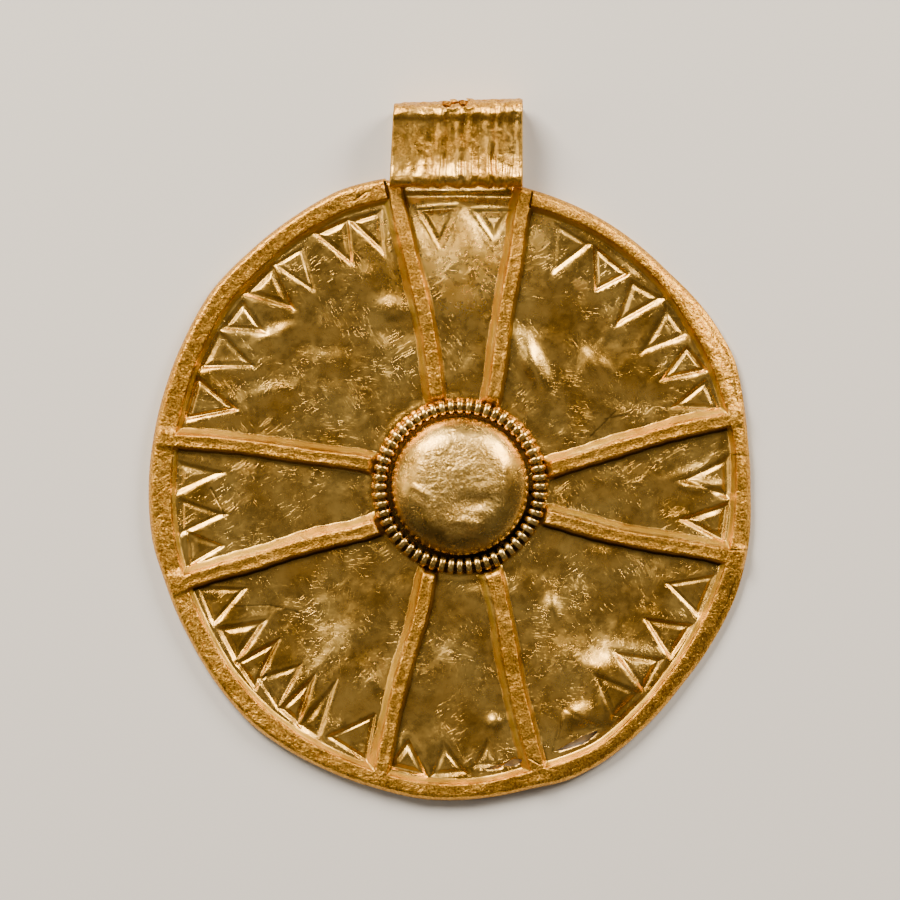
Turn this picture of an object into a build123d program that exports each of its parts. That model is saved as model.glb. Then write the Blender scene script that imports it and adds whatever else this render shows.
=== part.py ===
from build123d import *
from collections import namedtuple
from math import asin, atan, atan2, cos, degrees, pi, radians, sin
import os

os.makedirs("parts", exist_ok=True)

# Sizes in millimetres. The pendant lies on its back: +Z is its front and +Y points to the loop.
# The origin is the middle of the disc, on its back.
disc_radius = 19.5  # mean radius of the disc's edge
sheet = 0.28  # gold sheet of the disc
rim_height = 0.95  # flat top of the rim and ridges above the back
rim_roll = 0.3  # rounding of the rim's outer edge
rim_slope = 0.45  # sideways run of the rim's inner wall
rim_corners = 60  # corners of the hand-cut edge
rim_wall = 0.3  # side walls left beside the hollow behind the rim
ridge_width = 0.85  # flat top of a ridge
ridge_slope = 0.38  # sideways run of a ridge's wall
ridge_wall = 0.2  # side walls left beside the hollow behind a ridge
ridge_gap = 0.1  # from the collar to the foot of a ridge
ridge_reach = 0.7  # how far a ridge runs into the rim
punch_width = 2.3  # base of a triangular punch
punch_length = 2.8  # base to tip of a punch
punch_depth = 0.14
punch_margin = 0.55  # from the rim's top edge to the base of a punch
punch_core = 0.52  # size of the raised middle against its punch
punch_rise = 0.1  # raised middle above the field
tear_margin = 0.75  # from the rim's top edge to a tear

# The hub stands a little off the disc's middle.
hub_x = 0.63
hub_y = 0.29
seat_gap = 0.03  # soldered seams between the pieces

collar_radius = 5.1  # middle line of the beaded wire
bead_radius = 0.53
bead_groove = 0.11  # depth between two beads
bead_pitch = 0.57
bead_flat = 0.62  # length of a bead against its pitch
bead_bevel = 0.09

boss_gap = 0.15  # from the beads to the boss
boss_skirt = 1.15  # upright wall below the dome
boss_dome = 1.45
boss_shoulder = 1.0
boss_wall = 0.25

loop_width = 8.6
loop_x = 0.38  # middle of the loop
loop_sheet = 0.28
loop_depth = 3.2  # back of the strip to the front of the roll
loop_height = 5.85  # lip's end to the top of the roll
loop_lap = 0.98  # how far the lip reaches in over the disc
loop_waist = 0.4  # how far the front panel sinks above the lip
lip_height = 1.35  # from the lip's end up to the waist's corner
lip_round = 0.2
roll_share = 0.92  # roundness of the roll, 1 for a full half circle
rib_height = 0.12
rib_width = 0.42
tongue_shoulder = 1.0  # how much narrower the strip's lower end is on each side
tongue_lap = 0.75  # how far it reaches behind the disc's stepped edge
wear_width = 1.55  # worn hole in the top of the roll
wear_height = 0.55
wear_x = -0.02  # middle of the hole from the middle of the loop

hub = Vector(hub_x, hub_y)
collar_outer = collar_radius + bead_radius
boss_radius = collar_radius - bead_radius - boss_gap
hollow_height = rim_height - sheet
rim_taper = degrees(atan(rim_slope / hollow_height))
ridge_taper = degrees(atan(ridge_slope / (rim_height - sheet / 2)))
punch_slope = punch_width / 12
pit_taper = degrees(atan(punch_slope / punch_depth))
core_taper = degrees(atan(punch_slope / (punch_depth + punch_rise)))
bead_count = round(2 * pi * collar_radius / bead_pitch)

# Edge of the disc and inner edge of the rim's flat top, as shares of disc_radius.
Rim = namedtuple("Rim", "angle outer inner")
rim_rows = [
    Rim(0, 0.987, 0.938),
    Rim(10, 0.991, 0.947),
    Rim(20, 1.016, 0.945),
    Rim(32, 1.024, 0.956),
    Rim(45, 1.013, 0.970),
    Rim(60, 1.020, 0.977),
    Rim(75, 1.024, 0.971),
    Rim(90, 1.040, 0.980),
    Rim(105, 1.054, 0.984),
    Rim(120, 1.034, 0.974),
    Rim(135, 1.021, 0.957),
    Rim(150, 1.003, 0.938),
    Rim(165, 0.987, 0.921),
    Rim(180, 0.990, 0.917),
    Rim(195, 0.980, 0.918),
    Rim(210, 0.983, 0.922),
    Rim(225, 0.999, 0.940),
    Rim(240, 1.000, 0.948),
    Rim(255, 1.001, 0.951),
    Rim(270, 1.016, 0.963),
    Rim(285, 1.011, 0.956),
    Rim(300, 1.020, 0.970),
    Rim(315, 0.995, 0.944),
    Rim(330, 0.992, 0.933),
    Rim(345, 0.995, 0.937),
]

# Ridges from the collar to the rim: foot angle about the hub, head angle about the disc's middle,
# share of the way where the ridge bends, and the bend's offset as a share of ridge_width.
Ridge = namedtuple("Ridge", "foot_angle head_angle bend_at bend")
ridge_rows = [
    Ridge(103.7, 100.9, 0.35, -0.40),
    Ridge(69.4, 76.2, 0.70, -0.20),
    Ridge(11.0, 14.1, 0.80, 0.30),
    Ridge(-19.0, -13.2, 0.35, -0.30),
    Ridge(-68.5, -72.6, 0.60, -0.20),
    Ridge(-108.3, -103.8, 0.45, -0.20),
    Ridge(-153.4, -161.0, 0.38, -0.30),
    Ridge(165.0, 169.7, 0.60, -0.15),
]

# Punches: angle of the base's middle, width and length as shares of the usual punch, and the
# angle by which the tip leans.
Punch = namedtuple("Punch", "angle width length lean")
punch_rows = [
    Punch(92.5, 1.03, 0.90, 0.0),
    Punch(81.5, 0.96, 0.66, -1.3),
    Punch(64.5, 1.06, 1.00, 0.4),
    Punch(55.2, 1.12, 0.78, -1.2),
    Punch(45.7, 0.92, 1.02, -0.7),
    Punch(36.8, 0.94, 1.08, -0.9),
    Punch(28.3, 0.84, 0.97, -0.6),
    Punch(20.2, 0.84, 0.93, 0.4),
    Punch(2.7, 1.10, 1.05, 0.0),
    Punch(-6.5, 0.98, 0.98, -0.5),
    Punch(-22.2, 1.14, 0.93, -0.9),
    Punch(-33.2, 1.05, 0.95, 0.0),
    Punch(-42.3, 0.96, 0.95, -1.9),
    Punch(-50.6, 1.02, 1.02, -1.2),
    Punch(-63.0, 1.35, 0.84, 0.5),
    Punch(-82.5, 0.64, 0.58, 1.2),
    Punch(-90.2, 0.92, 0.72, -1.3),
    Punch(-98.7, 1.00, 0.70, -0.8),
    Punch(-111.6, 1.20, 0.95, 3.0),
    Punch(-120.6, 0.66, 1.15, -0.3),
    Punch(-125.7, 0.62, 1.04, -0.6),
    Punch(-132.0, 0.94, 0.98, 1.3),
    Punch(-138.4, 0.80, 1.06, -0.6),
    Punch(-145.2, 0.94, 1.00, 0.2),
    Punch(-154.4, 1.10, 0.98, 0.2),
    Punch(-167.8, 0.84, 0.75, 1.2),
    Punch(-174.6, 0.92, 1.00, 0.5),
    Punch(177.1, 0.84, 0.98, -1.6),
    Punch(160.3, 1.16, 1.05, -1.2),
    Punch(149.4, 1.08, 1.05, -1.8),
    Punch(141.0, 0.90, 0.77, -1.6),
    Punch(132.2, 1.06, 1.00, -1.5),
    Punch(124.4, 0.82, 1.02, -0.4),
    Punch(114.2, 0.94, 0.98, -0.8),
    Punch(107.2, 0.80, 0.93, -1.4),
]

# Tears along the foot of the rim: the angles of their ends and their width.
Tear = namedtuple("Tear", "start end width")
tear_rows = [
    Tear(-82.5, -74.8, 0.5),
    Tear(-68.3, -58.4, 0.3),
]

# Ribs of the loop, as shares of its width from the left edge.
rib_places = [0.26, 0.36, 0.49, 0.62, 0.735, 0.82, 0.90]


def polar(angle, radius):
    return Vector(radius * cos(radians(angle)), radius * sin(radians(angle)))


# Radius of a rim edge at any angle, between the rows of the table.
def rim_radius(column, angle):
    angle = angle % 360
    rows = rim_rows + [rim_rows[0]._replace(angle=360)]
    for low, high in zip(rows, rows[1:]):
        if low.angle <= angle <= high.angle:
            share = (angle - low.angle) / (high.angle - low.angle)
            return disc_radius * ((1 - share) * getattr(low, column) + share * getattr(high, column))


def rim_points(column, inset):
    angles = [360 * number / rim_corners for number in range(rim_corners)]
    return [polar(angle, rim_radius(column, angle) - inset) for angle in angles]


def tear_radius(angle):
    return rim_radius("inner", angle) - tear_margin


def ridge_line(row, reach):
    foot = hub + polar(row.foot_angle, collar_outer + ridge_gap)
    head = polar(row.head_angle, rim_radius("inner", row.head_angle) + reach)
    side = (head - foot).rotate(Axis.Z, 90).normalized()
    bend = foot + (head - foot) * row.bend_at + side * (row.bend * ridge_width)
    return [foot, bend, head]


# Outline of a strip along three points, its near end pushed out or cut back by a trim.
def strip_outline(line, half_width, trim):
    foot, bend, head = line
    near = (bend - foot).normalized()
    far = (head - bend).normalized()
    middle = (near + far).normalized()
    mitre = half_width / middle.dot(near)
    rows = [(foot + near * trim, near, half_width), (bend, middle, mitre), (head, far, half_width)]
    left = [point + way.rotate(Axis.Z, 90) * width for point, way, width in rows]
    right = [point - way.rotate(Axis.Z, 90) * width for point, way, width in rows]
    return right + left[::-1]


# Corners of a punch's triangle, shrunk about its middle.
def punch_corners(row, scale):
    base_radius = rim_radius("inner", row.angle) - punch_margin
    half_angle = degrees(atan2(punch_width * row.width / 2, base_radius))
    corners = [
        polar(row.angle - half_angle, base_radius),
        polar(row.angle + half_angle, base_radius),
        polar(row.angle + row.lean, base_radius - punch_length * row.length),
    ]
    middle = (corners[0] + corners[1] + corners[2]) * (1 / 3)
    return [middle + (corner - middle) * scale for corner in corners]


loop_foot = rim_radius("outer", 90) - loop_lap
loop_top = loop_foot + loop_height
disc_top = loop_foot + tongue_lap
tongue_width = loop_width - 2 * tongue_shoulder
step_height = loop_sheet + seat_gap
seat_width = loop_width + ridge_slope
seat_reach = disc_radius / 5

# The rim is left out where the loop sits.
with BuildPart() as loop_seat:
    with BuildSketch():
        with Locations((loop_x, disc_radius)):
            Rectangle(seat_width, seat_reach)
    extrude(amount=rim_height)

# The hollow behind the rim, its inner side sloped as the rim's wall is.
with BuildPart() as rim_hollow:
    with BuildSketch():
        with BuildLine():
            Polyline(*rim_points("outer", rim_wall), close=True)
        make_face()
    extrude(amount=hollow_height)
    with BuildSketch(Plane.XY.offset(hollow_height)):
        with BuildLine():
            Polyline(*rim_points("inner", -rim_wall / 2), close=True)
        make_face()
    extrude(amount=-hollow_height, taper=rim_taper, mode=Mode.SUBTRACT)
    add(loop_seat.part, mode=Mode.SUBTRACT)

# The hollows behind the ridges.
with BuildPart() as ridge_hollows:
    for row in ridge_rows:
        with BuildSketch():
            with BuildLine():
                half_width = ridge_width / 2 + ridge_slope - ridge_wall
                line = ridge_line(row, ridge_reach - rim_wall)
                Polyline(*strip_outline(line, half_width, ridge_wall), close=True)
            make_face()
        extrude(amount=hollow_height, taper=ridge_taper)

with BuildPart() as embossed_disc:
    # Plate as thick as the rim is high, with its outer edge beaten over.
    with BuildSketch():
        with BuildLine():
            Polyline(*rim_points("outer", 0), close=True)
        make_face()
    extrude(amount=rim_height)
    chamfer(embossed_disc.faces().sort_by(Axis.Z)[-1].edges(), rim_roll)

    # Field sunk inside the rim's sloping wall.
    with BuildSketch(Plane.XY.offset(rim_height)):
        with BuildLine():
            Polyline(*rim_points("inner", 0), close=True)
        make_face()
    extrude(amount=sheet - rim_height, taper=rim_taper, mode=Mode.SUBTRACT)

    # The rim stops on both sides of the loop.
    with Locations((0, 0, sheet)):
        add(loop_seat.part, mode=Mode.SUBTRACT)

    # Ridges.
    for row in ridge_rows:
        with BuildSketch(Plane.XY.offset(sheet / 2)):
            with BuildLine():
                half_width = ridge_width / 2 + ridge_slope
                Polyline(*strip_outline(ridge_line(row, ridge_reach), half_width, 0), close=True)
            make_face()
        extrude(amount=rim_height - sheet / 2, taper=ridge_taper)
    add(rim_hollow.part, mode=Mode.SUBTRACT)
    add(ridge_hollows.part, mode=Mode.SUBTRACT)

    # Punches: a sunken triangle with a raised middle.
    with BuildSketch(Plane.XY.offset(sheet)):
        for row in punch_rows:
            with BuildLine():
                Polyline(*punch_corners(row, 1), close=True)
            make_face()
    extrude(amount=-punch_depth, taper=pit_taper, mode=Mode.SUBTRACT)
    with BuildSketch(Plane.XY.offset(sheet - punch_depth)):
        for row in punch_rows:
            with BuildLine():
                Polyline(*punch_corners(row, punch_core), close=True)
            make_face()
    extrude(amount=punch_depth + punch_rise, taper=core_taper)

    # Tears along the foot of the rim.
    with BuildSketch():
        for row in tear_rows:
            middle = (row.start + row.end) / 2
            ends = [polar(angle, tear_radius(angle)) for angle in (row.start, row.end)]
            with BuildLine():
                Polyline(ends[0], polar(middle, tear_radius(middle)), ends[1])
                Polyline(ends[1], polar(middle, tear_radius(middle) - row.width), ends[0])
            make_face()
    extrude(amount=sheet, mode=Mode.SUBTRACT)

    # Edge under the loop, stepped forward by one strip so that the loop's tongue tucks in behind it.
    with BuildSketch():
        with Locations((loop_x, loop_foot)):
            Rectangle(seat_width, seat_reach, align=(Align.CENTER, Align.MIN))
    extrude(amount=step_height, mode=Mode.SUBTRACT)
    with BuildSketch(Plane.YZ.offset(loop_x)):
        with BuildLine():
            Polyline(
                (loop_foot - sheet, 0),
                (loop_foot, 0),
                (loop_foot, step_height),
                (disc_top, step_height),
                (disc_top, step_height + sheet),
                (loop_foot - sheet, step_height + sheet),
                close=True,
            )
        make_face()
    extrude(amount=tongue_width / 2 + sheet, both=True)
embossed_disc.part.label = "embossed_disc"

# Bevelled beads on a round wire core.
bead_length = bead_flat * 2 * pi * collar_radius / bead_count
with BuildPart() as bead:
    with BuildSketch(Plane.XZ.offset(-bead_length / 2)):
        with Locations((collar_radius, 0)):
            Circle(bead_radius)
    extrude(amount=bead_length)
    bead_ends = bead.faces().group_by(Axis.Y)
    chamfer(bead_ends[0].edges() + bead_ends[-1].edges(), bead_bevel)

with BuildPart() as beaded_collar:
    with BuildSketch(Plane.XZ):
        with Locations((collar_radius, 0)):
            Circle(bead_radius - bead_groove)
    revolve(axis=Axis.Z)
    with PolarLocations(0, bead_count):
        add(bead.part, clean=False)
beaded_collar.part.locate(Location((hub_x, hub_y, sheet + seat_gap + bead_radius)))
beaded_collar.part.label = "beaded_collar"

# Hollow domed cap with a rounded shoulder, open at the back.
crown_radius = (boss_radius**2 + boss_dome**2) / (2 * boss_dome)
crown_angle = degrees(asin(boss_radius / crown_radius))
with BuildPart() as boss:
    with BuildSketch(Plane.XZ) as boss_profile:
        with BuildLine():
            Polyline((0, boss_skirt + boss_dome), (0, 0), (boss_radius, 0), (boss_radius, boss_skirt))
            CenterArc((0, boss_skirt + boss_dome - crown_radius), crown_radius, 90 - crown_angle, crown_angle)
        make_face()
        fillet(boss_profile.vertices().group_by(Axis.X)[-1].sort_by(Axis.Y)[-1], boss_shoulder)
    revolve(axis=Axis.Z)
    offset(amount=-boss_wall, openings=boss.faces().sort_by(Axis.Z)[0])
boss.part.locate(Location((hub_x, hub_y, sheet + seat_gap)))
boss.part.label = "boss"


# Side view of the loop's strip in Y and Z, drawn inset from its outside: up from the disc's edge, round
# the roll, down the front panel to the waist, out to the lip and under to its end.
def loop_line(inset):
    back = max(inset, 0)
    front = loop_depth - inset
    top = loop_top - inset
    corners = [
        (disc_top + seat_gap, back),
        (top, back),
        (top, front),
        (loop_foot + lip_height, front - loop_waist),
        (loop_foot + lip_height / 2, front),
        (loop_foot + inset, front - loop_waist),
        (loop_foot + inset, rim_height + seat_gap),
    ]
    roll = (front - back) * roll_share / 2
    lip = lip_round + loop_sheet - inset
    return FilletPolyline(*corners, radius=[roll, roll, 2 * lip_round + inset, lip, lip])


with BuildPart() as suspension_loop:
    with BuildSketch(Plane.YZ.offset(loop_x - loop_width / 2)):
        with BuildLine():
            outside = loop_line(0)
            inside = loop_line(loop_sheet)
            Line(outside @ 0, inside @ 0)
            Line(outside @ 1, inside @ 1)
        make_face()
    extrude(amount=loop_width)

    # Ribs beaten into the front, from the lip up over the roll.
    for share in rib_places:
        with BuildSketch(Plane.YZ.offset(loop_x + (share - 1 / 2) * loop_width - rib_width / 2)):
            with BuildLine():
                outside = loop_line(-rib_height)
                inside = loop_line(loop_sheet)
                Line(outside @ 0, inside @ 0)
                Line(outside @ 1, inside @ 1)
            make_face()
        extrude(amount=rib_width)

    # Narrow tongue below the loop, behind the disc's stepped edge.
    with BuildSketch():
        with Locations((loop_x, loop_foot + seat_gap)):
            Rectangle(tongue_width, disc_top + 2 * seat_gap - loop_foot, align=(Align.CENTER, Align.MIN))
    extrude(amount=loop_sheet)

    # Worn hole in the front of the roll: two lobes joined by a slit.
    with BuildSketch(Plane.XZ.offset(-loop_top)):
        with Locations((loop_x + wear_x, loop_depth - wear_height)):
            with GridLocations(wear_width - wear_height, 0, 2, 1):
                Circle(wear_height / 2)
            Rectangle(wear_width - wear_height, wear_height / 2)
    extrude(amount=loop_depth / 2, both=True, mode=Mode.SUBTRACT)
suspension_loop.part.label = "suspension_loop"

for piece in [embossed_disc, beaded_collar, boss, suspension_loop]:
    export_step(piece.part, f"parts/{piece.part.label}.step")
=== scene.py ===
import bpy
import bmesh
import numpy as np
from math import cos, pi, radians, sin
from mathutils import Matrix, Vector, noise


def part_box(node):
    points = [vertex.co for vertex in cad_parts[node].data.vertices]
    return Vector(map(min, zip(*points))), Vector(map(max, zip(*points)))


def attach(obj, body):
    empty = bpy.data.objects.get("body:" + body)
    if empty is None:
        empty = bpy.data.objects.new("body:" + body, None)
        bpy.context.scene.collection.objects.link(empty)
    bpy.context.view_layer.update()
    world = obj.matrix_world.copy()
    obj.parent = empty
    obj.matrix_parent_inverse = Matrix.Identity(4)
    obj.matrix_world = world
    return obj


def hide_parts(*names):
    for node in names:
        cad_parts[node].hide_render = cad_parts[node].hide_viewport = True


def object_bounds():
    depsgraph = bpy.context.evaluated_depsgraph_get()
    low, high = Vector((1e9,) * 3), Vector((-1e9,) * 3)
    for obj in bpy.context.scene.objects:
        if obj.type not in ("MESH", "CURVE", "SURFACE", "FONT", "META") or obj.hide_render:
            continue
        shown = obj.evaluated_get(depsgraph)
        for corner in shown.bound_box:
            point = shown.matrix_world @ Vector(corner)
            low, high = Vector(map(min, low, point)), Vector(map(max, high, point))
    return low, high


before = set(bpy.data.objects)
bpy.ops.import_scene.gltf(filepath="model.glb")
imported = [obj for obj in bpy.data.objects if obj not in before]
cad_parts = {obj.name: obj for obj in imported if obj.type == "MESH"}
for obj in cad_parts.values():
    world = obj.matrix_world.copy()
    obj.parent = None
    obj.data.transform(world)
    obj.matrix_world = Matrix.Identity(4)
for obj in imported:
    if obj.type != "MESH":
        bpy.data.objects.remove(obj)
cadLow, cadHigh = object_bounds()
mm = 0.001  # everything is drawn in millimetres and made metres at the end


def cadBox(node):
    low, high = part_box(node)
    return low / mm, high / mm


def softStep(start, end, value):
    share = np.clip((value - start) / (end - start), 0, 1)
    return share * share * (3 - 2 * share)


def softNoise(x, y, size, seed):
    # smooth noise from -1 to 1, size is the width of one bump
    return np.array([noise.noise(Vector((a / size, b / size, seed))) for a, b in zip(x, y)])


def polar(x, y):
    # distance from the disc's middle, and angle in degrees from 0 to 360
    return np.hypot(x, y), np.degrees(np.arctan2(y, x)) % 360


def hubDistance(x, y):
    return np.hypot(x - hub.x, y - hub.y)


def onlyVerts(made):
    return [part for part in made if isinstance(part, bmesh.types.BMVert)]


def addObject(name, data):
    made = bpy.data.objects.new(name, data)
    bpy.context.scene.collection.objects.link(made)
    return made


def meshObject(bm, name):
    # turns the millimetre mesh into an object in metres
    bmesh.ops.scale(bm, vec=(mm, mm, mm), verts=bm.verts)
    mesh = bpy.data.meshes.new(name)
    bm.to_mesh(mesh)
    bm.free()
    return addObject(name, mesh)


def finishPiece(bm, name, finish, node):
    # a piece that takes the place of its CAD node
    for face in bm.faces:
        face.smooth = True
    piece = meshObject(bm, name)
    piece.data.materials.append(finish)
    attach(piece, "root")
    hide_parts(node)
    print(name, len(piece.data.polygons), "faces")
    return piece


def meshPoints(mesh):
    points = np.zeros(len(mesh.vertices) * 3)
    mesh.vertices.foreach_get("co", points)
    return points.reshape(-1, 3) / mm


def storeMask(mesh, name, values):
    layer = mesh.attributes.new(name, "FLOAT", "POINT")
    layer.data.foreach_set("value", np.asarray(values, dtype=np.float32))


def hexColour(text):
    # colours are sRGB hex values, turned to linear here
    values = [int(text[i:i + 2], 16) / 255 for i in (1, 3, 5)]
    return tuple(v / 12.92 if v < 0.04045 else ((v + 0.055) / 1.055) ** 2.4 for v in values) + (1,)


def addNode(tree, kind, settings, output=0):
    # keys are a property's name, or a socket's name or number
    # a socket given as a value is linked, and a text is a hex colour
    node = tree.nodes.new("ShaderNode" + kind)
    for key, value in settings.items():
        if isinstance(key, str) and hasattr(node, key):
            setattr(node, key, value)
        elif isinstance(value, bpy.types.NodeSocket):
            tree.links.new(value, node.inputs[key])
        else:
            node.inputs[key].default_value = hexColour(value) if isinstance(value, str) else value
    return node.outputs[output] if node.outputs else None


maskNames = ["worn", "creaseShade", "paintedShade"]  # kept in the mesh; a piece that lacks one has none of that wear or painted shade
# Noise layers: bump size in mm, detail and roughness. Real grain is about 0.05 mm, and it is drawn coarser
# so that it shows.
noiseRows = [
    ("patches", 3.0, 4, 0.6),
    ("mottle", 0.75, 5, 0.7),
    ("dimples", 0.9, 2, 0.5),
    ("flecks", 0.22, 2, 0.5),
    ("grain", 0.13, 3, 0.6),
    ("rubble", 0.36, 2, 0.5),
]
# Scratches: direction in degrees, width and length in mm, threshold and seed. The real ones are about
# 0.02 mm wide, and they are drawn wider so that they show.
scratchRows = [
    (8, 0.07, 1.5, 0.60, 0.11),
    (-32, 0.06, 1.1, 0.60, 0.23),
    (55, 0.07, 1.9, 0.61, 0.37),
    (98, 0.06, 0.8, 0.61, 0.53),
    (140, 0.08, 1.3, 0.62, 0.71),
]
scratchLook = {
    "edge": 0.07,  # how softly a scratch begins, as a share of the noise
    "patchSize": 3.1,  # mm, patches where one direction of scratches shows
    "patchRange": (0.47, 0.66),
    "bendSize": 2.6,  # mm, how far apart the bends of a scratch are
    "bendReach": 0.8,  # mm
}


# Hand-beaten gold of about 20 carat. Its satin shine with short scratches from wear gives broad warm
# highlights and a mottled field. Rubbed, granular tops of the relief give bright flecks on brown. Creases
# are duller, and get a painted shade, more yellow, with the warm tint of light reflected between walls.
def handBeatenGold(name, look):
    material = bpy.data.materials.new(name)
    material.use_nodes = True
    tree = material.node_tree
    tree.nodes.clear()
    coords = addNode(tree, "TexCoord", {}, "Object")
    worn, creaseShade, paintedShade = [addNode(tree, "Attribute", {"attribute_name": key}, "Fac") for key in maskNames]

    # noises by the size of one bump in millimetres, with detail and roughness
    noises = {}
    for key, size, detail, rough in noiseRows:
        settings = {"Scale": 1 / (size * mm), "Detail": detail, "Roughness": rough, "Vector": coords}
        noises[key] = addNode(tree, "TexNoise", settings)

    # coordinates that wander a little, so that scratches bend
    settings = {"Scale": 1 / (scratchLook["bendSize"] * mm), "Detail": 1, "Vector": coords}
    wander = addNode(tree, "TexNoise", settings, "Color")
    settings = {"operation": "MULTIPLY", 0: wander, 1: (scratchLook["bendReach"] * mm,) * 3}
    wander = addNode(tree, "VectorMath", settings)
    bent = addNode(tree, "VectorMath", {"operation": "ADD", 0: coords, 1: wander})

    # scratches: thin streaks in several directions, each set only in some patches
    scratches = None
    patchLow, patchHigh = scratchLook["patchRange"]
    for turn, width, length, low, seed in scratchRows:
        settings = {"Rotation": (0, 0, radians(turn)), "Location": (seed, 0, 0), "Vector": bent}
        turned = addNode(tree, "Mapping", settings)
        drawn = addNode(tree, "Mapping", {"Scale": (1, width / length, 1), "Vector": turned})
        streak = addNode(tree, "TexNoise", {"Scale": 1 / (width * mm), "Detail": 1, "Vector": drawn})
        streak = addNode(tree, "MapRange", {"Value": streak, 1: low, 2: low + scratchLook["edge"]})
        settings = {"Scale": 1 / (scratchLook["patchSize"] * mm), "Detail": 2, "Vector": turned}
        patch = addNode(tree, "TexNoise", settings)
        patch = addNode(tree, "MapRange", {"Value": patch, 1: patchLow, 2: patchHigh})
        streak = addNode(tree, "Math", {"operation": "MULTIPLY", 0: streak, 1: patch})
        if scratches:
            streak = addNode(tree, "Math", {"operation": "MAXIMUM", 0: scratches, 1: streak})
        scratches = streak

    # colour: two tones in soft patches, and dark and light grains for the worn tops
    tones = []
    pairs = [("patches", 0.35, 0.65, "deep", "bright"), ("grain", 0.4, 0.6, "wornDark", "wornLight")]
    for key, low, high, dark, light in pairs:
        share = addNode(tree, "MapRange", {"Value": noises[key], 1: low, 2: high})
        settings = {"data_type": "RGBA", 0: share, 6: look[dark], 7: look[light]}
        tones.append(addNode(tree, "Mix", settings, 2))
    tone, grains = tones
    # over them the grains, the painted shade and tint of the creases, and the painted shade
    wornShare = addNode(tree, "Math", {"operation": "MULTIPLY", 0: worn, 1: look["wornShare"]})
    share = addNode(tree, "Math", {"operation": "MULTIPLY", 0: creaseShade, 1: look["creaseShare"]})
    creaseShare = addNode(tree, "Math", {"operation": "MULTIPLY", 0: share, 1: noises["patches"]})
    for share, over in ((wornShare, grains), (creaseShare, look["creaseShade"]), (paintedShade, look["paintedShade"])):
        tone = addNode(tree, "Mix", {"data_type": "RGBA", 0: share, 6: tone, 7: over}, 2)

    # roughness: satin that varies with the mottles, duller on worn tops and in creases
    settings = {"Value": noises["mottle"], 1: 0.3, 2: 0.7, 3: look["roughLow"], 4: look["roughHigh"]}
    rough = addNode(tree, "MapRange", settings)
    for mask, more in ((worn, look["wornRough"]), (creaseShade, look["creaseRough"])):
        rough = addNode(tree, "Math", {"operation": "MULTIPLY_ADD", 0: mask, 1: more, 2: rough})

    # bump, each layer's height in millimetres
    fleck = addNode(tree, "MapRange", {"Value": noises["flecks"], 1: 0.62, 2: 0.72})
    wornGrain = addNode(tree, "Math", {"operation": "MULTIPLY", 0: noises["grain"], 1: worn})
    wornRubble = addNode(tree, "Math", {"operation": "MULTIPLY", 0: noises["rubble"], 1: worn})
    layers = [
        (scratches, -look["scratchDepth"]),
        (fleck, look["fleckHeight"]),
        (noises["mottle"], look["mottleHeight"]),
        (noises["dimples"], look["dimpleHeight"]),
        (wornGrain, look["grainHeight"]),
        (wornRubble, look["rubbleHeight"]),
    ]
    height = 0.0
    for layer, tall in layers:
        height = addNode(tree, "Math", {"operation": "MULTIPLY_ADD", 0: layer, 1: tall, 2: height})
    normal = addNode(tree, "Bump", {"Distance": mm, "Height": height})
    settings = {"Metallic": 1.0, "Base Color": tone, "Roughness": rough, "Normal": normal}
    shader = addNode(tree, "BsdfPrincipled", settings)
    addNode(tree, "OutputMaterial", {"Surface": shader})
    return material


# The disc and the loop: sheet beaten by hand over relief, soft and mottled. Heights are in mm.
sheetLook = {
    "deep": "#CA983C",
    "bright": "#EEC468",
    "wornDark": "#A86A1C",
    "wornLight": "#FCC04A",
    "wornShare": 0.85,
    # painted shade on the walls of ridges and rim, tinted like light reflected between them
    "creaseShade": "#B4962F",
    "creaseShare": 1.5,
    "creaseRough": 0.24,
    # painted shade, for all three finishes: feet of steep ridge sides, cracks, gaps round the collar and
    # between beads, the boss's lower side
    "paintedShade": "#30200C",
    "roughLow": 0.22,
    "roughHigh": 0.34,
    "wornRough": 0.08,
    "scratchDepth": 0.006,
    "fleckHeight": 0.003,
    "mottleHeight": 0.010,
    "dimpleHeight": 0.04,
    "grainHeight": 0.034,
    "rubbleHeight": 0.07,
}
# The boss: a raised cap, rubbed satin by handling, so its top is more scratched than its skirt; its top is
# paler as the skirt gets painted shade
bossLook = dict(
    sheetLook,
    deep="#D8A84C",
    bright="#EEC870",
    wornDark="#B4883C",
    wornLight="#F2CE7E",
    wornShare=0.6,
    # painted shade on the skirt
    creaseShade="#A8681C",
    creaseShare=1.6,
    creaseRough=0.0,
    roughHigh=0.32,
    scratchDepth=0.010,
    mottleHeight=0.012,
    dimpleHeight=0.02,
    grainHeight=0.03,
    rubbleHeight=0.09,
)
# The collar: wire rolled into beads and burnished, so each bead has one small clear highlight
wireLook = dict(
    sheetLook,
    deep="#D9AE56",
    bright="#F0CE80",
    wornShare=0.0,
    # painted shade on the wire's core between the beads
    creaseShade="#80602C",
    creaseShare=1.9,
    creaseRough=0.0,
    roughHigh=0.32,
    scratchDepth=0.001,
    mottleHeight=0.003,
    dimpleHeight=0.003,
    fleckHeight=0.0,
)
sheetGold = handBeatenGold("hand_beaten_sheet_gold", sheetLook)
bossGold = handBeatenGold("satin_scratched_gold", bossLook)
wireGold = handBeatenGold("burnished_pale_gold_wire", wireLook)
print("materials made")

discHigh = cadBox("embossed_disc")[1]
collarLow, collarHigh = cadBox("beaded_collar")
bossLow, bossHigh = cadBox("boss")
loopLow, loopHigh = cadBox("suspension_loop")
hub = (collarLow + collarHigh) / 2
collarReach = (collarHigh.x - collarLow.x) / 2

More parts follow.
